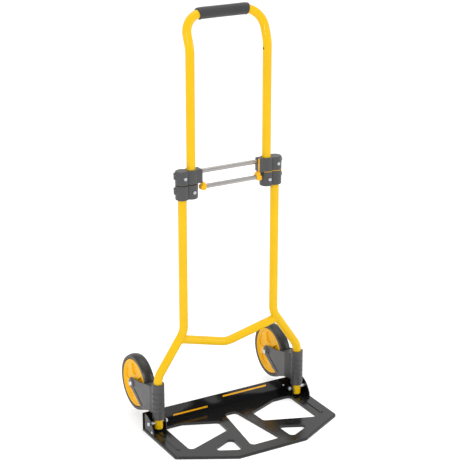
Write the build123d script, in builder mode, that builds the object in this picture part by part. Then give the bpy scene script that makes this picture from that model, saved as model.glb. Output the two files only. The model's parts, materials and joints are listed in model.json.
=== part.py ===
"""Folding luggage cart: a tube frame with a sliding handle, a hinged toe plate and swing-in wheels.

Millimetres. +X to the cart's right, +Y to its rear (the wheel side), +Z up. The origin is the centre of the
footprint on the floor. Heights are from the floor, and the two legs stand in the plane y = TUBE_Y.
"""
from math import cos, hypot, pi, radians, sin
import os

from build123d import *

os.makedirs("parts", exist_ok=True)

SIDES = (("left", -1), ("right", 1))

# --- driving dimensions ------------------------------------------------------
TUBE_R = 11.0                  # every leg and handle tube
WALL = 1.2
FIXED_FIT = 0.05               # radial gap of a tube held in a block
RUN_FIT = 0.08                 # radial gap of a part that turns or slides on a tube
THREAD_FIT = 0.02              # radial gap of a part that is screwed or pressed on
PAST = 1.0                     # how far a cutting sketch starts outside the face it cuts

LEG_X = 205.0                  # lower legs
LOWER_X = 130.5                # upper stretch of the frame tubes
HANDLE_X = 106.0               # handle tubes
LEG_FOOT_Z = 14.0
KNEE_Z = 152.0
SHOULDER_Z = 262.0
FRAME_BEND_R = 50.0

BLOCK_R = 17.0                 # barrels of the clamp blocks
BLOCK_TOP_Z = 682.0
BLOCK_SEAM_Z = 647.5
SEAM = 2.0
BLOCK_BOTTOM_Z = 609.0
BLOCK_END_X = 80.5             # inner end of the frame blocks

HANDLE_BEND_Z = 960.5
HANDLE_BEND_R = 72.0
HANDLE_LEAN = radians(22.5)
HANDLE_LEAN_RUN = 18.0
HANDLE_CORNER_R = 50.0

ROD_R = 5.6
CROSS_ROD_Y = 4.0
CROSS_ROD_Z = 672.0
RELEASE_ROD_Y = -7.0
RELEASE_ROD_Z = 635.5

PLATE_HALF = 235.0             # toe plate, half width behind the front corners
PLATE_REAR = 31.0
PLATE_CORNER = -147.0
PLATE_FRONT = -221.5
PLATE_FRONT_HALF = 97.0
PLATE_T = 1.6
PLATE_DEPTH = 7.5              # height of the turned-down rims
FLANGE_TOP = 49.5
EAR_X = 229.6                  # inner face of the side ears
EAR_T = 2.4
HINGE_Z = 30.0
HINGE_BOLT_R = 3.0

WHEEL_X = 202.0
WHEEL_BACK = 117.0             # axle behind the leg
AXLE_Z = 93.5
TYRE_R = 74.5
TYRE_HALF = 13.5
RIM_R = 62.0
RIM_HALF = 14.0
AXLE_R = 4.0

SLEEVE_R = 16.0
SLEEVE_BOTTOM = 41.0
SLEEVE_TOP = 136.5
ARM_GAP = 16.6                 # inner face of a fork arm from the wheel's middle plane
ARM_T = 3.4

# The footprint runs from the plate's front edge to the back of the tyres, and y = 0 is its middle.
TUBE_Y = -(PLATE_FRONT + WHEEL_BACK + TYRE_R) / 2


def level(z, x=0.0, y=0.0):
    """Plane facing up at height z, its origin at x and at y behind the legs."""
    return Plane(origin=(x, TUBE_Y + y, z), x_dir=(1, 0, 0), z_dir=(0, 0, 1))


def facing_front(y, x=0.0, z=0.0):
    """Plane facing the front of the cart; local x is +X and local y is +Z."""
    return Plane(origin=(x, TUBE_Y + y, z), x_dir=(1, 0, 0), z_dir=(0, -1, 0))


def facing_side(x, y=0.0, z=0.0):
    """Plane facing +X; local x is +Y and local y is +Z."""
    return Plane(origin=(x, TUBE_Y + y, z), x_dir=(0, 1, 0), z_dir=(1, 0, 0))


def outward_side(sign, x, y, z):
    """Plane at the cart's side, facing out from it, at x on the left or right."""
    return Plane(origin=(sign * x, TUBE_Y + y, z), x_dir=(0, 1, 0), z_dir=(sign, 0, 0))


def inward_side(sign, x, y, z):
    """Plane at the cart's side, facing its middle, at x on the left or right."""
    return Plane(origin=(sign * x, TUBE_Y + y, z), x_dir=(0, 1, 0), z_dir=(-sign, 0, 0))


def save(name, piece):
    """Label one finished piece and write it as its own STEP file."""
    piece.label = name
    export_step(piece, f"parts/{name}.step")


# --- frame tubes -------------------------------------------------------------
BLOCK_CAP = 3.0                # wall left over the blind end of a block's bore
FRAME_TUBE_TOP = BLOCK_TOP_Z - BLOCK_CAP
FRAME_SCREW_Z = (BLOCK_TOP_Z + BLOCK_SEAM_Z) / 2
HANDLE_SCREW_Z = (BLOCK_SEAM_Z - SEAM + BLOCK_BOTTOM_Z) / 2
SCREW_R = 1.9
SCREW_HOLE_R = 2.0
SCREW_LENGTH = 13.0


def frame_tube_line(sign):
    """Corner points of one frame tube in the plane of the legs."""
    return ((sign * LEG_X, LEG_FOOT_Z), (sign * LEG_X, KNEE_Z),
            (sign * LOWER_X, SHOULDER_Z), (sign * LOWER_X, FRAME_TUBE_TOP))


for side, sign in SIDES:
    with BuildPart() as frame_tube:
        with BuildLine(facing_front(0)) as route:
            FilletPolyline(*frame_tube_line(sign), radius=FRAME_BEND_R)
        with BuildSketch(level(LEG_FOOT_Z, x=sign * LEG_X)):
            Circle(TUBE_R)
            Circle(TUBE_R - WALL, mode=Mode.SUBTRACT)
        sweep(path=route.wires()[0])
        with BuildSketch(facing_front(-TUBE_R - PAST, x=sign * LOWER_X, z=FRAME_SCREW_Z)):
            Circle(SCREW_HOLE_R)
        extrude(amount=-TUBE_R, mode=Mode.SUBTRACT)
        with BuildSketch(facing_side(sign * LEG_X, z=HINGE_Z)):
            Circle(HINGE_BOLT_R + FIXED_FIT)
        extrude(amount=TUBE_R + PAST, both=True, mode=Mode.SUBTRACT)
    save(f"frame_tube_{side}", frame_tube.part)

# --- cross bar: a shallow V, its middle set back behind the legs -------------
BAR_R = 11.0
BAR_END = (142.0, 0.0, 244.0)
BAR_DIP = (0.0, 14.0, 201.0)
BAR_BEND_R = 55.0
bar_slope = Vector(0, BAR_DIP[1] - BAR_END[1], BAR_DIP[2] - BAR_END[2])
bar_plane = Plane(origin=(0, TUBE_Y, BAR_END[2]), x_dir=(1, 0, 0), z_dir=Vector(1, 0, 0).cross(bar_slope))

with BuildPart() as crossbar:
    with BuildLine(bar_plane) as bar_route:
        FilletPolyline((-BAR_END[0], 0), (0, bar_slope.length), (BAR_END[0], 0), radius=BAR_BEND_R)
    bar_edge = bar_route.edges().sort_by(Axis.X)[0]
    bar_start = bar_edge.position_at(0 if bar_edge.position_at(0).X < bar_edge.position_at(1).X else 1)
    bar_heading = (Vector(*BAR_DIP) - Vector(-BAR_END[0], BAR_END[1], BAR_END[2])).normalized()
    with BuildSketch(Plane(origin=bar_start, z_dir=bar_heading)):
        Circle(BAR_R)
        Circle(BAR_R - WALL, mode=Mode.SUBTRACT)
    sweep(path=bar_route.wires()[0])
    for sign in (-1, 1):
        with BuildLine(facing_front(0)) as cope_route:
            FilletPolyline(*frame_tube_line(sign), radius=FRAME_BEND_R)
        with BuildSketch(level(LEG_FOOT_Z, x=sign * LEG_X)):
            Circle(TUBE_R + THREAD_FIT)
        sweep(path=cope_route.wires()[0], mode=Mode.SUBTRACT)
    coped_bar = crossbar.part.solids().sort_by(SortBy.VOLUME)[-1]
save("crossbar", coped_bar)

# --- end plugs of the legs ---------------------------------------------------
PLUG_LIP = 2.0
PLUG_LENGTH = 8.0
PLUG_EDGE = 1.2
PLUG_OVERLAP = 0.5
PLUG_WALL = 2.2
for side, sign in SIDES:
    with BuildPart() as leg_plug:
        with BuildSketch(level(LEG_FOOT_Z - PLUG_LIP, x=sign * LEG_X)):
            Circle(TUBE_R)
        extrude(amount=PLUG_LIP - THREAD_FIT)
        fillet(leg_plug.edges().sort_by(Axis.Z)[0], PLUG_EDGE)
        with BuildSketch(level(LEG_FOOT_Z - PLUG_OVERLAP, x=sign * LEG_X)):
            Circle(TUBE_R - WALL - FIXED_FIT)
            Circle(TUBE_R - WALL - PLUG_WALL, mode=Mode.SUBTRACT)
        extrude(amount=PLUG_LENGTH)
    save(f"leg_plug_{side}", leg_plug.part)

# --- clamp blocks ------------------------------------------------------------
BLOCK_EDGE = 3.0               # rounding of the blocks' outer ends
BLOCK_WAIST = 9.0              # how much narrower a block is between its barrels
LUG_R = 10.0
LUG_REACH = 20.5
LUG_TAPER = 8.0
LUG_LEAN = radians(22.0)       # the outer lug points this far to the rear of the cart's side
LUG_RISE = 4.0
ROD_SEAT = 7.6                 # depth of the cross rod's hole in a block
LOCK_PIN_BORE = 8.0
EXTENSION_Y = (-12.5, 11.5)
SLOT_PLAY = 0.7                # how much wider a block's slots are than what slides in them
STEM_W = 6.6                   # the catch's stem, flush in the block's inner end
STEM_OUTER_X = 82.3
STEM_GROOVE_X = 82.6
TONGUE_W = 4.8                 # the catch's tongue, deeper in the block
TONGUE_OUTER_X = 86.5
TONGUE_SLOT_X = 86.9
TONGUE_CAP = 2.5               # wall left over the tongue's slot
LOCK_PIN_R = 2.0
LOCK_PIN_Z = 677.5
LOCK_PIN_X = (88.4, 94.6)      # inner and outer end, the outer one just off the handle tube


def block_barrels(sign, z_low, height):
    """The two joined barrels of a clamp block, added to the part being built."""
    with BuildSketch(level(z_low)) as barrels:
        for x in (LOWER_X, HANDLE_X):
            with Locations((sign * x, 0)):
                Circle(BLOCK_R)
        with Locations((sign * (LOWER_X + HANDLE_X) / 2, 0)):
            Rectangle(LOWER_X - HANDLE_X, 2 * BLOCK_R - BLOCK_WAIST)
    extrude(barrels.sketch, amount=height)


def outer_lug(sign, z_mid):
    """The rounded lug on the outer rear of a clamp block."""
    reach = Vector(sign * cos(LUG_LEAN), sin(LUG_LEAN), 0)
    start = Vector(sign * LOWER_X, TUBE_Y, z_mid) + reach * (TUBE_R + PAST)
    with BuildSketch(Plane(origin=start, z_dir=reach)) as lug:
        Circle(LUG_R)
    extrude(lug.sketch, amount=LUG_REACH - TUBE_R - PAST, taper=LUG_TAPER)


def upright_bore(sign, x, radius, z_low, z_high):
    """Cut one vertical bore between two heights."""
    with BuildSketch(level(z_low, x=sign * x)) as bore:
        Circle(radius)
    extrude(bore.sketch, amount=z_high - z_low, mode=Mode.SUBTRACT)


for side, sign in SIDES:
    height = BLOCK_TOP_Z - BLOCK_SEAM_Z
    with BuildPart() as frame_block:
        block_barrels(sign, BLOCK_SEAM_Z, height)
        with BuildSketch(level(BLOCK_SEAM_Z)):
            with Locations((sign * (BLOCK_END_X + HANDLE_X) / 2, sum(EXTENSION_Y) / 2)):
                Rectangle(HANDLE_X - BLOCK_END_X, EXTENSION_Y[1] - EXTENSION_Y[0])
        extrude(amount=height)
        fillet(frame_block.faces().sort_by(Axis.Z)[-1].edges(), BLOCK_EDGE)
        outer_lug(sign, (BLOCK_TOP_Z + BLOCK_SEAM_Z) / 2 + LUG_RISE)
        upright_bore(sign, LOWER_X, TUBE_R + FIXED_FIT, BLOCK_SEAM_Z, FRAME_TUBE_TOP + FIXED_FIT)
        upright_bore(sign, HANDLE_X, TUBE_R + RUN_FIT, BLOCK_SEAM_Z, BLOCK_TOP_Z)
        with BuildSketch(facing_front(-BLOCK_R - PAST, x=sign * LOWER_X, z=FRAME_SCREW_Z)):
            Circle(SCREW_HOLE_R)
        extrude(amount=-BLOCK_R, mode=Mode.SUBTRACT)
        with BuildSketch(facing_side(sign * (BLOCK_END_X - PAST), y=CROSS_ROD_Y, z=CROSS_ROD_Z)):
            Circle(ROD_R + FIXED_FIT)
        extrude(amount=sign * ROD_SEAT, mode=Mode.SUBTRACT)
        for slot_x, slot_w, slot_top in ((STEM_GROOVE_X, STEM_W + SLOT_PLAY, BLOCK_TOP_Z + PAST),
                                         (TONGUE_SLOT_X, TONGUE_W + SLOT_PLAY, BLOCK_TOP_Z - TONGUE_CAP)):
            with BuildSketch(level(BLOCK_SEAM_Z, y=RELEASE_ROD_Y)):
                with Locations((sign * (BLOCK_END_X - PAST + slot_x) / 2, 0)):
                    Rectangle(slot_x - BLOCK_END_X + PAST, slot_w)
            extrude(amount=slot_top - BLOCK_SEAM_Z, mode=Mode.SUBTRACT)
        with BuildSketch(facing_side(sign * LOCK_PIN_X[0], z=LOCK_PIN_Z)):
            Circle(LOCK_PIN_R + FIXED_FIT)
        extrude(amount=sign * LOCK_PIN_BORE, mode=Mode.SUBTRACT)
    save(f"frame_block_{side}", frame_block.part)

    height = BLOCK_SEAM_Z - SEAM - BLOCK_BOTTOM_Z
    with BuildPart() as handle_block:
        block_barrels(sign, BLOCK_BOTTOM_Z, height)
        fillet(handle_block.faces().sort_by(Axis.Z)[0].edges(), BLOCK_EDGE)
        outer_lug(sign, BLOCK_BOTTOM_Z + height / 2 + LUG_RISE)
        upright_bore(sign, LOWER_X, TUBE_R + RUN_FIT, BLOCK_BOTTOM_Z, BLOCK_BOTTOM_Z + height)
        upright_bore(sign, HANDLE_X, TUBE_R + FIXED_FIT, BLOCK_BOTTOM_Z + BLOCK_CAP, BLOCK_BOTTOM_Z + height)
        with BuildSketch(facing_front(-BLOCK_R - PAST, x=sign * HANDLE_X, z=HANDLE_SCREW_Z)):
            Circle(SCREW_HOLE_R)
        extrude(amount=-BLOCK_R, mode=Mode.SUBTRACT)
    save(f"handle_block_{side}", handle_block.part)

# --- seam plates: thin guide plates under the frame blocks -------------------
SEAM_PLATE_T = 1.3
SEAM_PLATE_R = {"left": 12.6, "right": 16.8}
for side, sign in SIDES:
    with BuildPart() as seam_plate:
        with BuildSketch(level(BLOCK_SEAM_Z - SEAM_PLATE_T)):
            for x in (LOWER_X, HANDLE_X):
                with Locations((sign * x, 0)):
                    Circle(SEAM_PLATE_R[side])
            for x, gap in ((LOWER_X, FIXED_FIT), (HANDLE_X, RUN_FIT)):
                with Locations((sign * x, 0)):
                    Circle(TUBE_R + gap, mode=Mode.SUBTRACT)
        extrude(amount=SEAM_PLATE_T)
    save(f"seam_plate_{side}", seam_plate.part)


SCREW_HEAD_R = 4.4
SCREW_HEAD_H = 2.6
SCREW_HEAD_TAPER = 12.0
CROSS_LENGTH = 4.2
CROSS_WIDTH = 0.9
CROSS_DEPTH = 1.2


def pan_screw(plane):
    """Pan-head screw with a cross recess, pointing against the plane's normal, added to the part."""
    with BuildSketch(plane) as head:
        Circle(SCREW_HEAD_R)
    extrude(head.sketch, amount=SCREW_HEAD_H, taper=SCREW_HEAD_TAPER)
    with BuildSketch(plane) as shank:
        Circle(SCREW_R)
    extrude(shank.sketch, amount=-SCREW_LENGTH)
    with BuildSketch(plane.offset(SCREW_HEAD_H - CROSS_DEPTH)) as recess:
        Rectangle(CROSS_LENGTH, CROSS_WIDTH)
        Rectangle(CROSS_WIDTH, CROSS_LENGTH)
    extrude(recess.sketch, amount=CROSS_DEPTH + PAST, mode=Mode.SUBTRACT)


SCREW_SETS = (("frame_block_screws", LOWER_X, FRAME_SCREW_Z),
              ("handle_block_screws", HANDLE_X, HANDLE_SCREW_Z))
for name, x, z in SCREW_SETS:
    with BuildPart() as screws:
        for _, sign in SIDES:
            pan_screw(facing_front(-BLOCK_R, x=sign * x, z=z))
    save(name, screws.part)

# --- fixed cross rod between the frame blocks --------------------------------
CROSS_ROD_HALF = BLOCK_END_X + 6.5   # it ends inside the blocks
with BuildPart() as cross_rod:
    with BuildSketch(facing_side(-CROSS_ROD_HALF, y=CROSS_ROD_Y, z=CROSS_ROD_Z)):
        Circle(ROD_R)
    extrude(amount=2 * CROSS_ROD_HALF)
save("cross_rod", cross_rod.part)

# --- release bar: lower rod and its two catches ------------------------------
FOOT_INNER_X = 71.0
FOOT_OUTER_X = 84.6
FOOT_BOTTOM_Z = 628.3
FOOT_CROWN_X = 77.0            # inner edge of the foot's level top
FOOT_TOP_Z = 648.5
FOOT_SHOULDER_Z = 639.8        # it stays under the block when the bar is lifted
STEM_INNER_X = BLOCK_END_X - 0.2
FOOT_W = 15.0
FOOT_ROUND = 3.5
FOOT_NOSE = 7.5                # height of the foot's inner corner over the rod's middle
STEM_DROP = 3.0                # how far the stem runs down into the foot
STEM_TOP = 1.0                 # the stem ends this far below the block's top
TONGUE_OVERLAP = 0.5
TONGUE_LOW = 2.0
TONGUE_HEIGHT = 20.0
RELEASE_ROD_HALF = BLOCK_END_X - 1.0
with BuildPart() as release_rod:
    with BuildSketch(facing_side(-RELEASE_ROD_HALF, y=RELEASE_ROD_Y, z=RELEASE_ROD_Z)):
        Circle(ROD_R)
    extrude(amount=2 * RELEASE_ROD_HALF)
save("release_rod", release_rod.part)

for side, sign in SIDES:
    with BuildPart() as catch:
        with BuildSketch(facing_front(RELEASE_ROD_Y - FOOT_W / 2)) as foot:
            with BuildLine():
                Polyline((sign * FOOT_INNER_X, RELEASE_ROD_Z + FOOT_NOSE),
                         (sign * FOOT_INNER_X, FOOT_BOTTOM_Z), (sign * FOOT_OUTER_X, FOOT_BOTTOM_Z),
                         (sign * FOOT_OUTER_X, FOOT_SHOULDER_Z),
                         (sign * STEM_INNER_X, FOOT_SHOULDER_Z), (sign * STEM_INNER_X, FOOT_TOP_Z),
                         (sign * FOOT_CROWN_X, FOOT_TOP_Z), close=True)
            make_face()
            fillet(foot.vertices().sort_by(Axis.Y)[:2], FOOT_ROUND)
        extrude(amount=-FOOT_W)
        with BuildSketch(level(FOOT_SHOULDER_Z - STEM_DROP, y=RELEASE_ROD_Y)):
            with Locations((sign * (STEM_INNER_X + STEM_OUTER_X) / 2, 0)):
                Rectangle(STEM_OUTER_X - STEM_INNER_X, STEM_W)
        extrude(amount=BLOCK_TOP_Z - STEM_TOP - FOOT_SHOULDER_Z + STEM_DROP)
        with BuildSketch(level(BLOCK_SEAM_Z + TONGUE_LOW, y=RELEASE_ROD_Y)):
            with Locations((sign * (STEM_OUTER_X - TONGUE_OVERLAP + TONGUE_OUTER_X) / 2, 0)):
                Rectangle(TONGUE_OUTER_X - STEM_OUTER_X + TONGUE_OVERLAP, TONGUE_W)
        extrude(amount=TONGUE_HEIGHT)
        with BuildSketch(facing_side(sign * (FOOT_INNER_X - PAST), y=RELEASE_ROD_Y, z=RELEASE_ROD_Z)):
            Circle(ROD_R + FIXED_FIT)
        extrude(amount=sign * (RELEASE_ROD_HALF + FIXED_FIT - FOOT_INNER_X + PAST), mode=Mode.SUBTRACT)
    save(f"catch_{side}", catch.part)

# --- handle: one tube bent into a U, its top leaning to the rear -------------
HANDLE_FOOT_Z = BLOCK_BOTTOM_Z + BLOCK_CAP + FIXED_FIT
LOCK_HOLE_Z = 955.5            # the pin's hole when the handle is pushed down
LOCK_HOLE_R = 3.0


def lean_point(x, run):
    """Point at x, this far along the handle's leaning top from the end of its rearward bend."""
    y = HANDLE_BEND_R * (1 - cos(HANDLE_LEAN)) + run * sin(HANDLE_LEAN)
    z = HANDLE_BEND_Z + HANDLE_BEND_R * sin(HANDLE_LEAN) + run * cos(HANDLE_LEAN)
    return (x, TUBE_Y + y, z)


def corner_point(sign, angle):
    """Point on the handle's corner bend, angle 0 where it starts and pi/2 at the top bar."""
    x = HANDLE_X - HANDLE_CORNER_R * (1 - cos(angle))
    return lean_point(sign * x, HANDLE_LEAN_RUN + HANDLE_CORNER_R * sin(angle))


def bend_point(sign, angle):
    """Point on the handle's rearward bend."""
    y = HANDLE_BEND_R * (1 - cos(angle))
    return (sign * HANDLE_X, TUBE_Y + y, HANDLE_BEND_Z + HANDLE_BEND_R * sin(angle))


with BuildPart() as handle_tube:
    with BuildLine() as handle_route:
        for _, sign in SIDES:
            Line((sign * HANDLE_X, TUBE_Y, HANDLE_FOOT_Z), bend_point(sign, 0))
            ThreePointArc(bend_point(sign, 0), bend_point(sign, HANDLE_LEAN / 2),
                          bend_point(sign, HANDLE_LEAN))
            Line(bend_point(sign, HANDLE_LEAN), corner_point(sign, 0))
            ThreePointArc(corner_point(sign, 0), corner_point(sign, pi / 4),
                          corner_point(sign, pi / 2))
        Line(corner_point(-1, pi / 2), corner_point(1, pi / 2))
    with BuildSketch(level(HANDLE_FOOT_Z, x=-HANDLE_X)):
        Circle(TUBE_R)
        Circle(TUBE_R - WALL, mode=Mode.SUBTRACT)
    sweep(path=handle_route.wires()[0])
    for _, sign in SIDES:
        with BuildSketch(facing_front(-TUBE_R - PAST, x=sign * HANDLE_X, z=HANDLE_SCREW_Z)):
            Circle(SCREW_HOLE_R)
        extrude(amount=-TUBE_R, mode=Mode.SUBTRACT)
        for lock_z in (LOCK_HOLE_Z, LOCK_PIN_Z):
            with BuildSketch(facing_side(sign * (HANDLE_X - TUBE_R - PAST), z=lock_z)):
                Circle(LOCK_HOLE_R)
            extrude(amount=sign * TUBE_R, mode=Mode.SUBTRACT)
save("handle_tube", handle_tube.part)

GRIP_R = 14.8
GRIP_EDGE = 1.6
GRIP_WRAP = radians(14.0)      # how far the grip runs into each corner bend
with BuildPart() as grip:
    with BuildLine() as grip_route:
        for _, sign in SIDES:
            ThreePointArc(corner_point(sign, pi / 2 - GRIP_WRAP), corner_point(sign, pi / 2 - GRIP_WRAP / 2),
                          corner_point(sign, pi / 2))
        Line(corner_point(-1, pi / 2), corner_point(1, pi / 2))
    grip_start = Vector(*corner_point(-1, pi / 2 - GRIP_WRAP))
    lean_up = Vector(0, sin(HANDLE_LEAN), cos(HANDLE_LEAN))
    grip_heading = Vector(1, 0, 0) * cos(GRIP_WRAP) + lean_up * sin(GRIP_WRAP)
    with BuildSketch(Plane(origin=grip_start, z_dir=grip_heading)):
        Circle(GRIP_R)
        Circle(TUBE_R + FIXED_FIT, mode=Mode.SUBTRACT)
    sweep(path=grip_route.wires()[0])
    end_faces = grip.faces().sort_by(Axis.X)
    fillet([face.outer_wire().edges()[0] for face in (end_faces[0], end_faces[-1])], GRIP_EDGE)
save("grip", grip.part)

# --- toe plate: pressed sheet with turned-down rims, a rear flange and two side ears ---
OUTLINE = ((-PLATE_HALF, PLATE_REAR), (-PLATE_HALF, PLATE_CORNER), (-PLATE_FRONT_HALF, PLATE_FRONT),
           (PLATE_FRONT_HALF, PLATE_FRONT), (PLATE_HALF, PLATE_CORNER), (PLATE_HALF, PLATE_REAR))
MIDDLE_WINDOW = ((-17, -4), (-43, -187), (43, -187), (17, -4))
SIDE_WINDOW = ((187, 5), (136, 5), (49, -32), (52, -86), (187, -137))
HAND_WINDOW = ((66, -126), (70, -198), (143, -162))
WINDOW_CORNER = 11.0
OUTLINE_CORNER = 9.0
OUTER_EDGE = 3.5               # rounding of the sheet along its outer rim
STRIPES = (("left", (-148.0, -48.0), 22.0), ("right", (-3.0, 128.0), 40.5))
RIVET_R = 1.9
RIVET_GAP = 0.05
FLANGE_RIVET = (184.0, 27.0)   # x, z on the rear flange
EAR_RIVET = (-15.0, 13.0)      # y, z on each ear
BEAD_X = 209.0
BEAD_Y = (-14.0, -122.0)
BEAD_W = 14.0
BEAD_H = 2.0
BEAD_TAPER = 30.0
OVERLAP = 0.5                  # how far joined solids run into each other
EAR_OUTLINE = ((PLATE_REAR, 1.0), (PLATE_REAR, FLANGE_TOP), (10.0, FLANGE_TOP), (-3.0, 43.0),
               (-14.0, 33.0), (-23.5, 18.0), (-27.0, 1.0))
EAR_CORNER = 7.0
EAR_CORNERS_Z = (5.0, FLANGE_TOP + 1.0)


def windows():
    """Corner points of the five windows, the two side ones mirrored left to right."""
    yield MIDDLE_WINDOW
    for _, sign in SIDES:
        for window in (SIDE_WINDOW, HAND_WINDOW):
            yield tuple((sign * x, y) for x, y in window)


def outline_face(shrink=0.0):
    """The plate's outline at floor level with its front corners rounded, pulled in by a margin."""
    with BuildSketch(level(0)) as face:
        with BuildLine():
            Polyline(*OUTLINE, close=True)
        make_face()
        rows = face.vertices().group_by(Axis.Y)
        fillet(rows[0] + rows[1], OUTLINE_CORNER)
        if shrink:
            offset(amount=-shrink, kind=Kind.ARC)
    return face.sketch


def window_sketch(window, grow):
    """One rounded window as a face at floor level, grown by a margin."""
    with BuildSketch(level(0)) as face:
        with BuildLine():
            Polyline(*window, close=True)
        make_face()
        fillet(face.vertices(), WINDOW_CORNER)
        if grow:
            offset(amount=grow)
    return face.sketch


with BuildPart() as toe_plate:
    extrude(outline_face(), amount=PLATE_DEPTH)
    top_edges = toe_plate.faces().sort_by(Axis.Z)[-1].edges()
    fillet(top_edges.filter_by(lambda e: e.center().Y < TUBE_Y + PLATE_REAR - PAST), OUTER_EDGE)
    extrude(outline_face(PLATE_T), amount=PLATE_DEPTH - PLATE_T, mode=Mode.SUBTRACT)
    for window in windows():
        extrude(window_sketch(window, PLATE_T), amount=PLATE_DEPTH - OVERLAP)
    for window in windows():
        extrude(window_sketch(window, 0), amount=PLATE_DEPTH, mode=Mode.SUBTRACT)
    for _, sign in SIDES:
        with BuildSketch(level(PLATE_DEPTH - OVERLAP)):
            with Locations((sign * BEAD_X, sum(BEAD_Y) / 2)):
                SlotOverall(BEAD_Y[0] - BEAD_Y[1], BEAD_W, rotation=90)
        extrude(amount=BEAD_H + OVERLAP, taper=BEAD_TAPER)
    with BuildSketch(level(0, y=PLATE_REAR - PLATE_T / 2)):
        Rectangle(2 * PLATE_HALF, PLATE_T)
    extrude(amount=FLANGE_TOP)
    for _, sign in SIDES:
        with BuildSketch(facing_side(sign * EAR_X)) as ear:
            with BuildLine():
                Polyline(*EAR_OUTLINE, close=True)
            make_face()
            fillet(ear.vertices().filter_by(lambda v: EAR_CORNERS_Z[0] < v.Y < EAR_CORNERS_Z[1]), EAR_CORNER)
        extrude(amount=sign * EAR_T)
        with BuildSketch(facing_side(sign * EAR_X, z=HINGE_Z)):
            Circle(HINGE_BOLT_R + RUN_FIT)
            with Locations((EAR_RIVET[0], EAR_RIVET[1] - HINGE_Z)):
                Circle(RIVET_R + RIVET_GAP)
        extrude(amount=EAR_T + PAST, both=True, mode=Mode.SUBTRACT)
        with BuildSketch(facing_front(PLATE_REAR, x=sign * FLANGE_RIVET[0], z=FLANGE_RIVET[1])):
            Circle(RIVET_R + RIVET_GAP)
        extrude(amount=PLATE_T + PAST, both=True, mode=Mode.SUBTRACT)
save("toe_plate", toe_plate.part)


RIVET_HEAD_R = 3.6
RIVET_HEAD_H = 1.6
RIVET_HEAD_TAPER = 35.0


def rivet(plane, grip_length):
    """Domed rivet whose head sits on the plane, its shank running against the normal."""
    with BuildSketch(plane) as head:
        Circle(RIVET_HEAD_R)
    extrude(head.sketch, amount=RIVET_HEAD_H, taper=RIVET_HEAD_TAPER)
    with BuildSketch(plane) as shank:
        Circle(RIVET_R)
    extrude(shank.sketch, amount=-grip_length)


with BuildPart() as plate_rivets:
    for _, sign in SIDES:
        flange_face = facing_front(PLATE_REAR - PLATE_T, x=sign * FLANGE_RIVET[0], z=FLANGE_RIVET[1])
        rivet(flange_face, PLATE_T)
        rivet(outward_side(sign, EAR_X + EAR_T, EAR_RIVET[0], EAR_RIVET[1]), EAR_T)
save("plate_rivets", plate_rivets.part)

STRIPE_H = 4.6
STRIPE_T = 0.4
for side, (x_low, x_high), z_mid in STRIPES:
    with BuildPart() as stripe:
        with BuildSketch(facing_front(PLATE_REAR - PLATE_T, x=(x_low + x_high) / 2, z=z_mid)):
            Rectangle(x_high - x_low, STRIPE_H)
        extrude(amount=STRIPE_T)
    save(f"flange_stripe_{side}", stripe.part)

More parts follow.
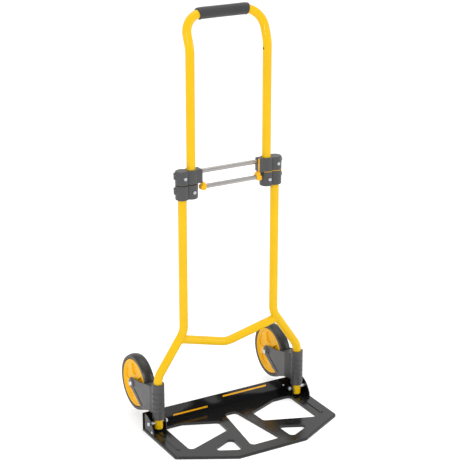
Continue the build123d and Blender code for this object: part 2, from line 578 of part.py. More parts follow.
# --- toe plate hinge: inner lugs, bolts, spacers and nuts --------------------
LUG_INNER_X = 187.4
LUG_T = 2.4
LUG_FOOT_T = 1.5
LUG_FOOT_OUT = 12.0
LUG_HALF_W = 10.5
SIDE_GAP = 0.4                 # free play beside a turning part
BOLT_HEAD_R = 5.6
BOLT_HEAD_H = 3.2
BOLT_HEAD_TAPER = 25.0
SOCKET_R = 2.0
SOCKET_DEPTH = 1.2
HINGE_NUT_R = 5.6
HINGE_NUT_H = 5.6
NUT_EDGE = 0.5
BOLT_PAST_NUT = 1.4
SPACER_R = 5.2
SPACER_GAP = 0.1
for side, sign in SIDES:
    with BuildPart() as hinge_lug:
        with BuildSketch(facing_side(sign * LUG_INNER_X)):
            with Locations((0, (PLATE_DEPTH + HINGE_Z) / 2)):
                Rectangle(2 * LUG_HALF_W, HINGE_Z - PLATE_DEPTH)
            with Locations((0, HINGE_Z)):
                Circle(LUG_HALF_W - 1.0)
        extrude(amount=sign * LUG_T)
        with BuildSketch(level(PLATE_DEPTH, x=sign * (LUG_INNER_X + LUG_FOOT_OUT / 2))):
            Rectangle(LUG_FOOT_OUT, 2 * LUG_HALF_W)
        extrude(amount=LUG_FOOT_T)
        with BuildSketch(facing_side(sign * (LUG_INNER_X - PAST), z=HINGE_Z)):
            Circle(HINGE_BOLT_R + RUN_FIT)
        extrude(amount=sign * (LUG_T + 2 * PAST), mode=Mode.SUBTRACT)
    save(f"hinge_lug_{side}", hinge_lug.part)

    bolt_head_x = EAR_X + EAR_T + SIDE_GAP
    nut_x = LUG_INNER_X - SIDE_GAP
    with BuildPart() as hinge_bolt:
        head_seat = outward_side(sign, bolt_head_x, 0, HINGE_Z)
        with BuildSketch(head_seat):
            Circle(BOLT_HEAD_R)
        extrude(amount=BOLT_HEAD_H, taper=BOLT_HEAD_TAPER)
        with BuildSketch(head_seat):
            Circle(HINGE_BOLT_R)
        extrude(amount=-(bolt_head_x - nut_x + HINGE_NUT_H + BOLT_PAST_NUT))
        with BuildSketch(head_seat.offset(BOLT_HEAD_H - SOCKET_DEPTH)):
            RegularPolygon(SOCKET_R, 6)
        extrude(amount=SOCKET_DEPTH + PAST, mode=Mode.SUBTRACT)
    save(f"hinge_bolt_{side}", hinge_bolt.part)

    with BuildPart() as hinge_nut:
        with BuildSketch(inward_side(sign, nut_x, 0, HINGE_Z)):
            RegularPolygon(HINGE_NUT_R, 6)
            Circle(HINGE_BOLT_R + THREAD_FIT, mode=Mode.SUBTRACT)
        extrude(amount=HINGE_NUT_H)
        chamfer(hinge_nut.faces().sort_by(Axis.X)[0 if sign > 0 else -1].outer_wire().edges(), NUT_EDGE)
    save(f"hinge_nut_{side}", hinge_nut.part)

    spacer_x = LEG_X + TUBE_R + SPACER_GAP
    with BuildPart() as hinge_spacer:
        with BuildSketch(facing_side(sign * spacer_x, z=HINGE_Z)):
            Circle(SPACER_R)
            Circle(HINGE_BOLT_R + FIXED_FIT, mode=Mode.SUBTRACT)
        extrude(amount=sign * (EAR_X - SIDE_GAP - spacer_x))
    save(f"hinge_spacer_{side}", hinge_spacer.part)

# --- wheel forks: a sleeve that turns on the leg and two arms that hold the axle ---
RIB_PITCH = 13.5
RIB_COUNT = 5
RIB_FIRST_Z = 57.0
BOSS_R = 15.5
BOSS_H = 2.6
WHEEL_ROOM = 4.0               # gap between the tyre and the fork's curved wall
GROOVE_LINE = ((101.0, 83.0), (58.0, 56.0))
GROOVE_W = 4.4
GROOVE_T = 2.2
RIB_DEPTH = 1.4
AXLE_HEAD_R = 6.4
AXLE_HEAD_H = 3.6
AXLE_HEAD_TAPER = 24.0
AXLE_PAST_SEAT = 5.0
AXLE_NUT_R = 6.6
AXLE_NUT_H = 5.4
RIB_H = 3.2
FORK_EDGE = 1.2
BOSS_STEP = 2.5
BOSS_TAPER = 15.0
FORK_ROOT_X = 14.5             # half width of the fork's root where it meets the sleeve
FORK_ROOT_Y = 2.0
FORK_INNER_Y = 24.0            # where the inner arm's wall reaches its full width
FORK_OUTER_Y = 14.0
FORK_PAST_Y = 150.0
ARM_OUTLINE = ((FORK_ROOT_Y, 57.0), (30.0, 54.5), (37.0, 50.5), (50.0, 46.0), (68.0, 47.5),
               (WHEEL_BACK + 9.0, AXLE_Z - 12.6), (WHEEL_BACK + 3.0, AXLE_Z + 15.2), (66.0, 115.5),
               (46.0, 121.5), (FORK_ROOT_Y, 130.0))
fork_reach = ARM_GAP + ARM_T
fork_inner_x = WHEEL_X - fork_reach
fork_outer_x = WHEEL_X + fork_reach
groove_run = (GROOVE_LINE[0][0] - GROOVE_LINE[1][0], GROOVE_LINE[0][1] - GROOVE_LINE[1][1])
groove_mid = ((GROOVE_LINE[0][0] + GROOVE_LINE[1][0]) / 2, (GROOVE_LINE[0][1] + GROOVE_LINE[1][1]) / 2)

for side, sign in SIDES:
    with BuildPart() as fork:
        with BuildSketch(facing_side(sign * WHEEL_X - fork_reach)) as arm:
            with BuildLine():
                Polyline(*ARM_OUTLINE, close=True)
            make_face()
            with Locations((WHEEL_BACK, AXLE_Z)):
                Circle(BOSS_R)
        extrude(amount=2 * fork_reach)
        with BuildSketch(level(0)):
            with BuildLine():
                Polyline((sign * (LEG_X - FORK_ROOT_X), FORK_ROOT_Y), (sign * fork_inner_x, FORK_INNER_Y),
                         (sign * fork_inner_x, FORK_PAST_Y), (sign * fork_outer_x, FORK_PAST_Y),
                         (sign * fork_outer_x, FORK_OUTER_Y), (sign * (LEG_X + FORK_ROOT_X), FORK_ROOT_Y),
                         close=True)
            make_face()
        extrude(amount=SHOULDER_Z, mode=Mode.INTERSECT)
        with BuildSketch(facing_side(sign * WHEEL_X - ARM_GAP, y=WHEEL_BACK, z=AXLE_Z)):
            Circle(TYRE_R + WHEEL_ROOM)
        extrude(amount=2 * ARM_GAP, mode=Mode.SUBTRACT)
        fillet(fork.edges().filter_by(Plane.YZ).group_by(Axis.X)[0], FORK_EDGE)
        fillet(fork.edges().filter_by(Plane.YZ).group_by(Axis.X)[-1], FORK_EDGE)
        for face_sign in (-1, 1):
            outward = Plane(origin=(sign * WHEEL_X + face_sign * fork_reach, TUBE_Y + WHEEL_BACK, AXLE_Z),
                            x_dir=(0, 1, 0), z_dir=(face_sign, 0, 0))
            with BuildSketch(outward):
                Circle(BOSS_R - BOSS_STEP)
            extrude(amount=BOSS_H, taper=BOSS_TAPER)
            groove_origin = (sign * WHEEL_X + face_sign * fork_reach, TUBE_Y + groove_mid[0], groove_mid[1])
            with BuildSketch(Plane(origin=groove_origin, x_dir=(0, groove_run[0], groove_run[1]),
                                   z_dir=(face_sign, 0, 0))):
                SlotOverall(hypot(*groove_run) + GROOVE_W, GROOVE_W)
            extrude(amount=-GROOVE_T, mode=Mode.SUBTRACT)
        with BuildSketch(level(SLEEVE_BOTTOM, x=sign * LEG_X)):
            Circle(SLEEVE_R)
        extrude(amount=SLEEVE_TOP - SLEEVE_BOTTOM)
        for index in range(RIB_COUNT):
            with BuildSketch(level(RIB_FIRST_Z + index * RIB_PITCH, x=sign * LEG_X)):
                with BuildLine():
                    CenterArc((0, 0), SLEEVE_R + PAST, 180, 180)
                    CenterArc((0, 0), SLEEVE_R - RIB_DEPTH, 180, 180)
                    Line((SLEEVE_R - RIB_DEPTH, 0), (SLEEVE_R + PAST, 0))
                    Line((-SLEEVE_R + RIB_DEPTH, 0), (-SLEEVE_R - PAST, 0))
                make_face()
            extrude(amount=RIB_H, mode=Mode.SUBTRACT)
        with BuildSketch(level(SLEEVE_BOTTOM - PAST, x=sign * LEG_X)):
            Circle(TUBE_R + RUN_FIT)
        extrude(amount=SLEEVE_TOP - SLEEVE_BOTTOM + 2 * PAST, mode=Mode.SUBTRACT)
        with BuildSketch(facing_side(sign * WHEEL_X, y=WHEEL_BACK, z=AXLE_Z)):
            Circle(AXLE_R + FIXED_FIT)
        extrude(amount=fork_reach + BOSS_H + PAST, both=True, mode=Mode.SUBTRACT)
    save(f"fork_{side}", fork.part)

    bolt_seat = fork_reach + BOSS_H
    with BuildPart() as axle_bolt:
        head_seat = outward_side(sign, WHEEL_X + bolt_seat, WHEEL_BACK, AXLE_Z)
        with BuildSketch(head_seat):
            Circle(AXLE_HEAD_R)
        extrude(amount=AXLE_HEAD_H, taper=AXLE_HEAD_TAPER)
        with BuildSketch(head_seat):
            Circle(AXLE_R)
        extrude(amount=-(2 * bolt_seat + AXLE_PAST_SEAT))
    save(f"axle_bolt_{side}", axle_bolt.part)

    with BuildPart() as axle_nut:
        with BuildSketch(inward_side(sign, WHEEL_X - bolt_seat, WHEEL_BACK, AXLE_Z)):
            RegularPolygon(AXLE_NUT_R, 6)
            Circle(AXLE_R + THREAD_FIT, mode=Mode.SUBTRACT)
        extrude(amount=AXLE_NUT_H)
        chamfer(axle_nut.faces().sort_by(Axis.X)[0 if sign > 0 else -1].outer_wire().edges(), NUT_EDGE)
    save(f"axle_nut_{side}", axle_nut.part)

# --- wheels: rim, tyre and bush ----------------------------------------------
HUB_HALF = 15.8
BUSH_HALF = 16.0
BUSH_R = 7.0
SEAT_R = 59.5
SEAT_HALF = 9.5
POCKETS = 5
POCKET_IN = 25.0
POCKET_OUT = 50.5
POCKET_HALF_ANGLE = 21.0
POCKET_BULGE = 2.5             # how much further out a pocket reaches at its middle
POCKET_CORNER = 5.0
POCKET_TAPER = 6.0
WEB_HALF = 7.5
POCKET_OUTLINE = ((POCKET_IN, -POCKET_HALF_ANGLE), (POCKET_OUT, -POCKET_HALF_ANGLE),
                  (POCKET_OUT + POCKET_BULGE, 0.0), (POCKET_OUT, POCKET_HALF_ANGLE),
                  (POCKET_IN, POCKET_HALF_ANGLE))
RIM_SIDE = ((HUB_HALF, BUSH_R), (HUB_HALF, 13.5), (13.0, 17.0), (10.0, 54.5), (RIM_HALF - 0.6, 57.5),
            (RIM_HALF, 58.5), (RIM_HALF, 60.8), (RIM_HALF - 1.2, RIM_R), (SEAT_HALF, RIM_R),
            (SEAT_HALF, SEAT_R))
TYRE_SIDE = ((SEAT_HALF - 0.1, SEAT_R + 0.05), (SEAT_HALF - 0.1, RIM_R + 0.05), (TYRE_HALF, 63.5),
             (TYRE_HALF, 71.0))


def polar_point(radius, angle):
    """Point of a wheel face given by radius and angle in degrees."""
    return (radius * cos(radians(angle)), radius * sin(radians(angle)))


for side, sign in SIDES:
    hub = (sign * WHEEL_X, TUBE_Y + WHEEL_BACK, AXLE_Z)
    section = Plane(origin=hub, x_dir=(1, 0, 0), z_dir=(0, -1, 0))
    axle_axis = Axis(hub, (1, 0, 0))
    with BuildPart() as rim:
        with BuildSketch(section):
            with BuildLine():
                Polyline(*RIM_SIDE, *((-x, r) for x, r in reversed(RIM_SIDE)), close=True)
            make_face()
        revolve(axis=axle_axis)
        for face_sign in (-1, 1):
            web_face = Plane(origin=Vector(*hub) + Vector(face_sign * WEB_HALF, 0, 0),
                             x_dir=(0, 1, 0), z_dir=(face_sign, 0, 0))
            for index in range(POCKETS):
                angle = 90 + index * 360 / POCKETS
                with BuildSketch(web_face) as pocket:
                    with BuildLine():
                        Polyline(*(polar_point(radius, face_sign * (angle + swing))
                                   for radius, swing in POCKET_OUTLINE), close=True)
                    make_face()
                    fillet(pocket.vertices(), POCKET_CORNER)
                extrude(amount=RIM_HALF, taper=-POCKET_TAPER, mode=Mode.SUBTRACT)
    save(f"rim_{side}", rim.part)

    with BuildPart() as tyre:
        with BuildSketch(section):
            with BuildLine():
                Polyline(*TYRE_SIDE)
                ThreePointArc(TYRE_SIDE[-1], (0, TYRE_R), (-TYRE_SIDE[-1][0], TYRE_SIDE[-1][1]))
                Polyline(*((-x, r) for x, r in reversed(TYRE_SIDE)))
                Line((-TYRE_SIDE[0][0], TYRE_SIDE[0][1]), TYRE_SIDE[0])
            make_face()
        revolve(axis=axle_axis)
    save(f"tyre_{side}", tyre.part)

    with BuildPart() as bush:
        with BuildSketch(facing_side(sign * WHEEL_X - BUSH_HALF, y=WHEEL_BACK, z=AXLE_Z)):
            Circle(BUSH_R - THREAD_FIT)
            Circle(AXLE_R + RUN_FIT, mode=Mode.SUBTRACT)
        extrude(amount=2 * BUSH_HALF)
    save(f"hub_bush_{side}", bush.part)

# --- inside the frame blocks: lock pins and catch springs --------------------
SPRING_R = 1.65
SPRING_WIRE = 0.3
SPRING_LOW = BLOCK_SEAM_Z + TONGUE_LOW + TONGUE_HEIGHT + SPRING_WIRE + FIXED_FIT
SPRING_HIGH = BLOCK_TOP_Z - TONGUE_CAP - SPRING_WIRE - FIXED_FIT
SPRING_TURNS = 2.5
for side, sign in SIDES:
    with BuildPart() as lock_pin:
        with BuildSketch(facing_side(sign * LOCK_PIN_X[0], z=LOCK_PIN_Z)):
            Circle(LOCK_PIN_R)
        extrude(amount=sign * (LOCK_PIN_X[1] - LOCK_PIN_X[0]))
    save(f"lock_pin_{side}", lock_pin.part)

    slot_middle = (STEM_OUTER_X + TONGUE_SLOT_X) / 2
    spring_foot = Plane(origin=(sign * slot_middle, TUBE_Y + RELEASE_ROD_Y, SPRING_LOW))
    rise = SPRING_HIGH - SPRING_LOW
    with BuildPart() as catch_spring:
        with BuildLine(spring_foot) as coil:
            Helix(pitch=rise / SPRING_TURNS, height=rise, radius=SPRING_R)
        with BuildSketch(Plane(origin=coil.edges()[0] @ 0, z_dir=coil.edges()[0] % 0)):
            Circle(SPRING_WIRE)
        sweep(path=coil.wires()[0], is_frenet=True)
    save(f"catch_spring_{side}", catch_spring.part)
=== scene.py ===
"""Looks of the folding luggage cart: materials, rounded edges, grip, weld beads, light and camera."""

import json
from math import cos, pi, radians, sin

import bmesh
import bpy
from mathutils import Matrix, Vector, noise
from mathutils.bvhtree import BVHTree


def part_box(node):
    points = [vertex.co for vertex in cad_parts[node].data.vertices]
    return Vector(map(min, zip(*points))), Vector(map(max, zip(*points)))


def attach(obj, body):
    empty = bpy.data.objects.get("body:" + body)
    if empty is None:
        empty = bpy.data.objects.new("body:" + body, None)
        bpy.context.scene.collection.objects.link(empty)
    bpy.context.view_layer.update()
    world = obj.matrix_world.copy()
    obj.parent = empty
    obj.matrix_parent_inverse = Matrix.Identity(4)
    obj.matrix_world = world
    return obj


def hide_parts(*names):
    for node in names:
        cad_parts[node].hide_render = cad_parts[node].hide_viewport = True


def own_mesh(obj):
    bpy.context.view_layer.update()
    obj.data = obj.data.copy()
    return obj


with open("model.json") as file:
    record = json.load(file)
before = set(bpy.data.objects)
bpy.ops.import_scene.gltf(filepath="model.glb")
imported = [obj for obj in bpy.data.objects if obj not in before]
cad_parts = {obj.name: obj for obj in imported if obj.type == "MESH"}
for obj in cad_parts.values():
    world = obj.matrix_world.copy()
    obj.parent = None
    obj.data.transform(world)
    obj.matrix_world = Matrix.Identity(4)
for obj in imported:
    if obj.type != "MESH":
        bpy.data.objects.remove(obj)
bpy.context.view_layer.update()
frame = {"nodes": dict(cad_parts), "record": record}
nodes = frame["nodes"]
body_of_node = {n: body for body, members in frame["record"]["behaviour"]["bodies"].items() for n in members}
SIDES = (("left", -1), ("right", 1))


# --- material building blocks -----------------------------------------------
def add(tree, kind, settings=None, **values):
    """Add a shader node, with its settings, and set or link its inputs by name."""
    node = tree.nodes.new("ShaderNode" + kind)
    for key, value in (settings or {}).items():
        setattr(node, key, value)
    for key, value in values.items():
        socket = node.inputs[key.replace("_", " ")]
        if isinstance(value, bpy.types.NodeSocket):
            tree.links.new(value, socket)
        else:
            socket.default_value = value
    return node


def mix_colour(tree, factor, first, second):
    """Colour that goes from the first to the second as the factor goes from 0 to 1."""
    mix = tree.nodes.new("ShaderNodeMix")
    mix.data_type = "RGBA"
    for index, value in ((0, factor), (6, first), (7, second)):
        if isinstance(value, bpy.types.NodeSocket):
            tree.links.new(value, mix.inputs[index])
        else:
            mix.inputs[index].default_value = value if index == 0 else (*value, 1.0)
    return mix.outputs[2]


def remap(tree, value, low, high, to_low, to_high):
    """Value mapped from one range to another and clamped."""
    node = add(tree, "MapRange", Value=value, From_Min=low, From_Max=high, To_Min=to_low, To_Max=to_high)
    return node.outputs[0]


def maths(tree, operation, first, second):
    """One arithmetic step on two values."""
    node = tree.nodes.new("ShaderNodeMath")
    node.operation = operation
    for index, value in enumerate((first, second)):
        if isinstance(value, bpy.types.NodeSocket):
            tree.links.new(value, node.inputs[index])
        else:
            node.inputs[index].default_value = value
    return node.outputs[0]


def noise_value(tree, place, scale, detail=3.0, roughness=0.55):
    """Noise of the given scale, in waves per metre."""
    return add(tree, "TexNoise", Vector=place, Scale=scale, Detail=detail, Roughness=roughness).outputs[0]


def edge_mask(tree, place, radius, strength):
    """Broken mask that is bright only along edges, for rubbed and chipped corners."""
    soft = add(tree, "Bevel", {"samples": 4}, Radius=radius).outputs[0]
    plain = add(tree, "NewGeometry").outputs["Normal"]
    dot = tree.nodes.new("ShaderNodeVectorMath")
    dot.operation = "DOT_PRODUCT"
    tree.links.new(soft, dot.inputs[0])
    tree.links.new(plain, dot.inputs[1])
    edge = remap(tree, dot.outputs["Value"], 0.99, 0.86, 0.0, 1.0)
    broken = remap(tree, noise_value(tree, place, 190.0, 4.0, 0.7), 0.42, 0.66, 0.0, strength)
    return maths(tree, "MULTIPLY", edge, broken)


def surface(name, base, shade, rough, blotch=9.0, grain=900.0, depth=0.00002, peel=220.0,
            peel_depth=0.0, metallic=0.0, coat=0.0, coat_rough=0.1, specular=0.5, worn=None,
            wear=0.0, stretch=(1.0, 1.0, 1.0), dust_and_painted_sheen=0.0, sheen=0.0, cells=0.0):
    """Procedural finish: blotches, grain and peel bumps, uneven roughness, worn edges, and grey on up-facing
    faces that is part dust and part painted sheen.
    """
    material = bpy.data.materials.new(name)
    material.use_nodes = True
    tree = material.node_tree
    shader = tree.nodes["Principled BSDF"]
    coords = add(tree, "TexCoord")
    place = coords.outputs["Object"]
    grained = add(tree, "Mapping", Vector=place, Scale=stretch).outputs[0]

    blotches = remap(tree, noise_value(tree, place, blotch, 4.0), 0.34, 0.68, 0.0, 1.0)
    colour = mix_colour(tree, blotches, base, shade)
    fine = noise_value(tree, grained, grain, 3.0)
    flecks = remap(tree, fine, 0.3, 0.75, 0.0, 0.5)
    colour = mix_colour(tree, flecks, colour, shade)
    smudge = noise_value(tree, place, 34.0, 5.0, 0.62)
    roughness = remap(tree, smudge, 0.3, 0.72, rough[0], rough[1])
    # Up-facing faces go greyer. This is settled dust, and on the black coat it is also a painted sheen that
    # lightens the top faces as a reflection would.
    if dust_and_painted_sheen:
        upward = add(tree, "SeparateXYZ", Vector=coords.outputs["Normal"]).outputs[2]
        dust_and_sheen_mask = maths(tree, "MULTIPLY", remap(tree, upward, 0.55, 0.98, 0.0, dust_and_painted_sheen),
                        remap(tree, smudge, 0.4, 0.7, 0.25, 1.0))
        # The grey the up-facing faces take on, as dust and as painted sheen.
        colour = mix_colour(tree, dust_and_sheen_mask, colour, (0.33, 0.31, 0.28))
        roughness = maths(tree, "ADD", roughness, maths(tree, "MULTIPLY", dust_and_sheen_mask, 0.8))
    if worn:
        chipped = edge_mask(tree, place, 0.0011, wear)
        colour = mix_colour(tree, chipped, colour, worn)
        roughness = maths(tree, "ADD", roughness, maths(tree, "MULTIPLY", chipped, 0.25))
    tree.links.new(colour, shader.inputs["Base Color"])
    tree.links.new(roughness, shader.inputs["Roughness"])

    normal = add(tree, "Bump", Height=fine, Strength=0.6, Distance=depth)
    if peel_depth:
        waves = noise_value(tree, place, peel, 1.0)
        normal = add(tree, "Bump", Height=waves, Strength=0.5, Distance=peel_depth, Normal=normal.outputs[0])
    if cells:
        pores = add(tree, "TexVoronoi", {"feature": "F1"}, Vector=place, Scale=cells).outputs[0]
        normal = add(tree, "Bump", Height=pores, Strength=0.7, Distance=0.00022, Normal=normal.outputs[0])
    tree.links.new(normal.outputs[0], shader.inputs["Normal"])
    shader.inputs["Metallic"].default_value = metallic
    shader.inputs["Coat Weight"].default_value = coat
    shader.inputs["Coat Roughness"].default_value = coat_rough
    shader.inputs["Specular IOR Level"].default_value = specular
    shader.inputs["Sheen Weight"].default_value = sheen
    return material


looks = {
    "yellow_paint": surface(
        "yellow_paint", (0.78, 0.485, 0.0006), (0.74, 0.44, 0.0005), (0.24, 0.34), blotch=14.0,
        grain=1500.0, depth=0.000008, peel=420.0, peel_depth=0.00003, coat=0.4, coat_rough=0.07,
        specular=0.04, worn=(0.72, 0.42, 0.02), wear=0.25),
    "grey_plastic": surface(
        "grey_plastic", (0.058, 0.058, 0.06), (0.044, 0.044, 0.046), (0.3, 0.44), grain=2300.0,
        depth=0.00004, worn=(0.15, 0.15, 0.155), wear=0.5, specular=0.5, dust_and_painted_sheen=0.03),
    "black_plastic": surface(
        "black_plastic", (0.018, 0.018, 0.019), (0.012, 0.012, 0.012), (0.42, 0.6), grain=1900.0,
        depth=0.00004, worn=(0.07, 0.07, 0.07), wear=0.5),
    # Its up-facing grey is painted sheen: it lightens the top faces of the plate as a reflection of the room
    # would.
    "black_coat": surface(
        "black_coat", (0.005, 0.005, 0.0055), (0.0035, 0.0035, 0.0035), (0.12, 0.24), grain=1300.0,
        depth=0.00001, peel=330.0, peel_depth=0.00002, worn=(0.1, 0.096, 0.092), wear=0.3,
        dust_and_painted_sheen=0.012),
    "yellow_plastic": surface(
        "yellow_plastic", (0.86, 0.45, 0.0008), (0.8, 0.4, 0.0006), (0.33, 0.46), grain=1800.0,
        depth=0.00002, specular=0.25, worn=(1.0, 0.56, 0.02), wear=0.4),
    "tyre": surface(
        "tyre", (0.008, 0.008, 0.0085), (0.013, 0.0125, 0.012), (0.24, 0.4), grain=1400.0,
        depth=0.00005, worn=(0.05, 0.048, 0.046), wear=0.5, specular=0.4, dust_and_painted_sheen=0.04),
    "rod_steel": surface(
        "rod_steel", (0.4, 0.388, 0.375), (0.35, 0.34, 0.33), (0.3, 0.34), grain=500.0,
        depth=0.000001, metallic=1.0, stretch=(0.03, 1.0, 1.0), worn=(0.5, 0.49, 0.48), wear=0.4),
    "zinc": surface(
        "zinc", (0.66, 0.68, 0.7), (0.5, 0.52, 0.56), (0.24, 0.42), blotch=160.0, grain=2200.0,
        depth=0.00002, metallic=1.0, worn=(0.4, 0.4, 0.4), wear=0.4),
    "grip_foam": surface(
        "grip_foam", (0.046, 0.046, 0.048), (0.033, 0.033, 0.034), (0.78, 0.95), grain=2600.0,
        depth=0.00007, cells=1500.0, specular=0.3, sheen=0.25, dust_and_painted_sheen=0.06),
    "stripe": surface(
        "stripe", (1.0, 0.5, 0.005), (0.95, 0.42, 0.004), (0.22, 0.34), grain=1500.0,
        depth=0.00001),
}
slot_of_node = {row["node"]: row["material_slot"] for row in frame["record"]["subparts"]}
for name, cad in nodes.items():
    cad.data.materials.clear()
    cad.data.materials.append(looks[slot_of_node[name]])


# --- rounded copies of the sharp-edged CAD pieces ---------------------------
def rounded_copy(node, width, segments=2, from_angle=38.0):
    """Copy of a CAD node with its sharp edges rounded off, standing for the node."""
    shape = bmesh.new()
    shape.from_mesh(nodes[node].data)
    bmesh.ops.remove_doubles(shape, verts=shape.verts, dist=2e-6)
    bmesh.ops.dissolve_limit(shape, angle_limit=radians(0.6), verts=shape.verts, edges=shape.edges)
    sharp = [e for e in shape.edges if len(e.link_faces) == 2 and e.calc_face_angle() > radians(from_angle)]
    bmesh.ops.bevel(shape, geom=sharp, offset=width, segments=segments, profile=0.5, affect="EDGES",
                    clamp_overlap=False)
    mesh = bpy.data.meshes.new(node + "_rounded")
    shape.to_mesh(mesh)
    shape.free()
    mesh.shade_smooth()
    piece = bpy.data.objects.new(node + "_rounded", mesh)
    bpy.context.scene.collection.objects.link(piece)
    mesh.set_sharp_from_angle(angle=radians(50.0))
    piece.modifiers.new("even_shading", "WEIGHTED_NORMAL").keep_sharp = True
    mesh.materials.append(looks[slot_of_node[node]])
    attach(piece, body_of_node[node])
    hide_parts(node)
    return piece


ROUNDED = (("frame_block", 0.0004), ("handle_block", 0.0007), ("seam_plate", 0.0002),
           ("catch", 0.0003), ("fork", 0.0007), ("rim", 0.0008), ("hinge_lug", 0.0004),
           ("hinge_nut", 0.0003), ("axle_nut", 0.0003), ("axle_bolt", 0.0004),
           ("hinge_bolt", 0.0004), ("leg_plug", 0.0003), ("frame_tube", 0.0002))
for stem, width in ROUNDED:
    for side, _ in SIDES:
        rounded_copy(f"{stem}_{side}", width)
for node, width in (("toe_plate", 0.00015), ("cross_rod", 0.0003), ("release_rod", 0.0003),
                    ("handle_tube", 0.0002)):
    rounded_copy(node, width)

# --- catch springs: rounded copies, each with a mesh of its own -------------
for side, _ in SIDES:
    spring = rounded_copy(f"catch_spring_{side}", 0.00004)
    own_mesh(spring)

# --- grip: closed-cell foam sleeve ------------------------------------------
LEAN = radians(22.5)
HANDLE_X = 0.106
CORNER_R = 0.050
WRAP = radians(14.0)
GRIP_R = 0.0148
TUBE_R = 0.011
END_ROUND = 0.0022
_, grip_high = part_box("grip")
lean_up = Vector((0.0, sin(LEAN), cos(LEAN)))
lean_out = Vector((0.0, cos(LEAN), -sin(LEAN)))
grip_middle = Vector((0.0, grip_high.y - GRIP_R, grip_high.z - GRIP_R))
STRAIGHT = HANDLE_X - CORNER_R
WRAP_RUN = CORNER_R * WRAP
HALF_RUN = STRAIGHT + WRAP_RUN


def grip_station(run):
    """Centre and up direction of the grip at a distance along it from its middle."""
    past = max(abs(run) - STRAIGHT, 0.0) / CORNER_R
    side = 1.0 if run > 0 else -1.0
    x = min(abs(run), STRAIGHT) + CORNER_R * sin(past)
    drop = CORNER_R * (1.0 - cos(past))
    centre = grip_middle + Vector((side * x, 0.0, 0.0)) - lean_up * drop
    outward = Vector((side * sin(past), 0.0, 0.0)) + lean_up * cos(past)
    return centre, outward


def grip_radius(run):
    """Foam radius, rounded over at both ends and a little worn in at the middle."""
    to_end = HALF_RUN - abs(run)
    full = GRIP_R - 0.00012 - 0.00035 * (1.0 - (run / HALF_RUN) ** 2)
    if to_end >= END_ROUND:
        return full
    return full - END_ROUND + (END_ROUND ** 2 - (END_ROUND - to_end) ** 2) ** 0.5


GRIP_RINGS = 150
GRIP_SIDES = 72
shape = bmesh.new()
rings = []
end_runs = [HALF_RUN - END_ROUND * (1.0 - cos(step * pi / 12)) for step in range(7)]
inner_runs = [(HALF_RUN - END_ROUND) * (2.0 * i / GRIP_RINGS - 1.0) for i in range(1, GRIP_RINGS)]
for run in [-r for r in end_runs] + inner_runs + end_runs[::-1]:
    centre, outward = grip_station(run)
    ring = []
    for index in range(GRIP_SIDES):
        turn = 2.0 * pi * index / GRIP_SIDES
        direction = outward * cos(turn) + lean_out * sin(turn)
        point = centre + direction * grip_radius(run)
        dent = noise.noise(point * 55.0) * 0.0001 + noise.noise(point * 420.0) * 0.00004
        ring.append(shape.verts.new(point + direction * (min(dent, 0.0) - 0.00002)))
    rings.append(ring)
for first, second in zip(rings, rings[1:]):
    for index in range(GRIP_SIDES):
        after = (index + 1) % GRIP_SIDES
        shape.faces.new((first[index], second[index], second[after], first[after]))
for ring, run in ((rings[0], -HALF_RUN), (rings[-1], HALF_RUN)):
    centre, outward = grip_station(run)
    collar = []
    for index in range(GRIP_SIDES):
        turn = 2.0 * pi * index / GRIP_SIDES
        direction = outward * cos(turn) + lean_out * sin(turn)
        collar.append(shape.verts.new(centre + direction * (TUBE_R + 0.0001)))
    for index in range(GRIP_SIDES):
        after = (index + 1) % GRIP_SIDES
        shape.faces.new((ring[index], ring[after], collar[after], collar[index]))
bmesh.ops.recalc_face_normals(shape, faces=shape.faces)
grip_mesh = bpy.data.meshes.new("grip_foam")
shape.to_mesh(grip_mesh)
shape.free()
grip_mesh.shade_smooth()
grip_mesh.materials.append(looks["grip_foam"])
grip = bpy.data.objects.new("grip_foam", grip_mesh)
bpy.context.scene.collection.objects.link(grip)
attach(grip, "handle")
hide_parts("grip")

# --- weld beads where the crossbar meets the frame tubes --------------------
BAR_R = 0.011
BEAD_R = 0.0017
BEAD_SINK = 0.0005
BEAD_STEPS = 96
BEAD_WAVES = 22
BEAD_SIDES = 10
BAR_END = (0.142, 0.015, 0.244)
BAR_DIP = Vector((0.0, 0.029, 0.201))
BEAD_FROM = 0.6                # the rays start this share of the way from the dip to the end


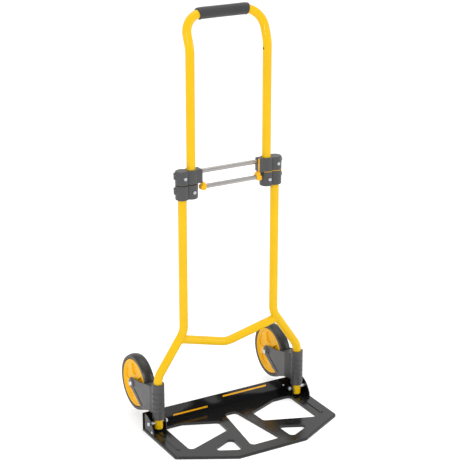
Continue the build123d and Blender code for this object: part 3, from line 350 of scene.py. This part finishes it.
def weld_bead(side, sign):
    """Rippled bead along the line where the bar runs into one frame tube."""
    wall = nodes[f"frame_tube_{side}"].data
    tree = BVHTree.FromPolygons([v.co for v in wall.vertices], [p.vertices for p in wall.polygons])
    end = Vector((sign * BAR_END[0], BAR_END[1], BAR_END[2]))
    heading = (end - BAR_DIP).normalized()
    across = heading.cross(Vector((0.0, 0.0, 1.0))).normalized()
    upward = across.cross(heading)
    start = BAR_DIP + (end - BAR_DIP) * BEAD_FROM
    path = []
    for step in range(BEAD_STEPS):
        turn = 2.0 * pi * step / BEAD_STEPS
        radial = across * cos(turn) + upward * sin(turn)
        hit, _, _, _ = tree.ray_cast(start + radial * (BAR_R - BEAD_SINK), heading)
        if hit is None:
            return None
        path.append((hit, radial))
    shape = bmesh.new()
    loops = []
    for step, (centre, radial) in enumerate(path):
        before, after = path[step - 1][0], path[(step + 1) % BEAD_STEPS][0]
        along = (after - before).normalized()
        lift = (radial - along * radial.dot(along)).normalized()
        other = along.cross(lift)
        wave = 0.1 * sin(step * 2.0 * pi * BEAD_WAVES / BEAD_STEPS)
        ripple = BEAD_R * (1.0 + wave + 0.12 * noise.noise(centre * 160.0))
        loops.append([shape.verts.new(centre + (lift * cos(t) + other * sin(t)) * ripple)
                      for t in (2.0 * pi * k / BEAD_SIDES for k in range(BEAD_SIDES))])
    for step in range(BEAD_STEPS):
        first, second = loops[step], loops[(step + 1) % BEAD_STEPS]
        for k in range(BEAD_SIDES):
            after = (k + 1) % BEAD_SIDES
            shape.faces.new((first[k], second[k], second[after], first[after]))
    bmesh.ops.recalc_face_normals(shape, faces=shape.faces)
    mesh = bpy.data.meshes.new(f"weld_bead_{side}")
    shape.to_mesh(mesh)
    shape.free()
    mesh.shade_smooth()
    mesh.materials.append(looks["yellow_paint"])
    bead = bpy.data.objects.new(f"weld_bead_{side}", mesh)
    bpy.context.scene.collection.objects.link(bead)
    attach(bead, "frame")
    return bead


for side, sign in SIDES:
    if weld_bead(side, sign) is None:
        print("no weld bead on the", side)

# --- floor, light and camera ------------------------------------------------
bpy.ops.mesh.primitive_plane_add(size=40.0)
floor = bpy.context.object
floor.name = "floor"
paper = surface("floor_paper", (0.9, 0.9, 0.9), (0.88, 0.88, 0.88), (0.85, 0.95),
                blotch=3.0, grain=700.0, specular=0.1)
floor.data.materials.append(paper)
FLOOR_GLOW = 0.25
floor_shader = paper.node_tree.nodes["Principled BSDF"]
floor_shader.inputs["Emission Color"].default_value = (1.0, 1.0, 1.0, 1.0)
floor_shader.inputs["Emission Strength"].default_value = FLOOR_GLOW

scene = bpy.context.scene
WORLD_STRENGTH = 0.95
world = bpy.data.worlds.new("studio")
scene.world = world
world.use_nodes = True
world.node_tree.nodes["Background"].inputs["Color"].default_value = (1.0, 1.0, 1.0, 1.0)
world.node_tree.nodes["Background"].inputs["Strength"].default_value = WORLD_STRENGTH
scene.view_settings.view_transform = "Standard"


def soft_light(name, place, aim, size, power):
    """Rectangular soft box aimed at a point."""
    data = bpy.data.lights.new(name, "AREA")
    data.shape = "RECTANGLE"
    data.size, data.size_y = size
    data.energy = power
    light = bpy.data.objects.new(name, data)
    scene.collection.objects.link(light)
    light.location = place
    light.rotation_euler = (Vector(aim) - Vector(place)).to_track_quat("-Z", "Y").to_euler()
    return light


soft_light("key", (-2.2, -2.2, 2.6), (0, 0, 0.5), (0.5, 0.9), 30)
soft_light("top", (0.6, 0.4, 3.4), (0, 0, 0.3), (2.4, 2.4), 26)
soft_light("fill", (2.6, -1.8, 1.4), (0, 0, 0.5), (0.35, 1.2), 9)

camera_data = bpy.data.cameras.new("camera")
camera_data.sensor_width = 36.0
camera_data.lens = 115.0
camera_data.clip_start, camera_data.clip_end = 0.1, 100.0
camera = bpy.data.objects.new("camera", camera_data)
scene.collection.objects.link(camera)
camera.location = (-1.7024, -2.9686, 1.7276)
camera_aim = Vector((0.00239, 0.015, 0.5074))
camera.rotation_euler = (camera_aim - camera.location).to_track_quat("-Z", "Y").to_euler()
scene.camera = camera
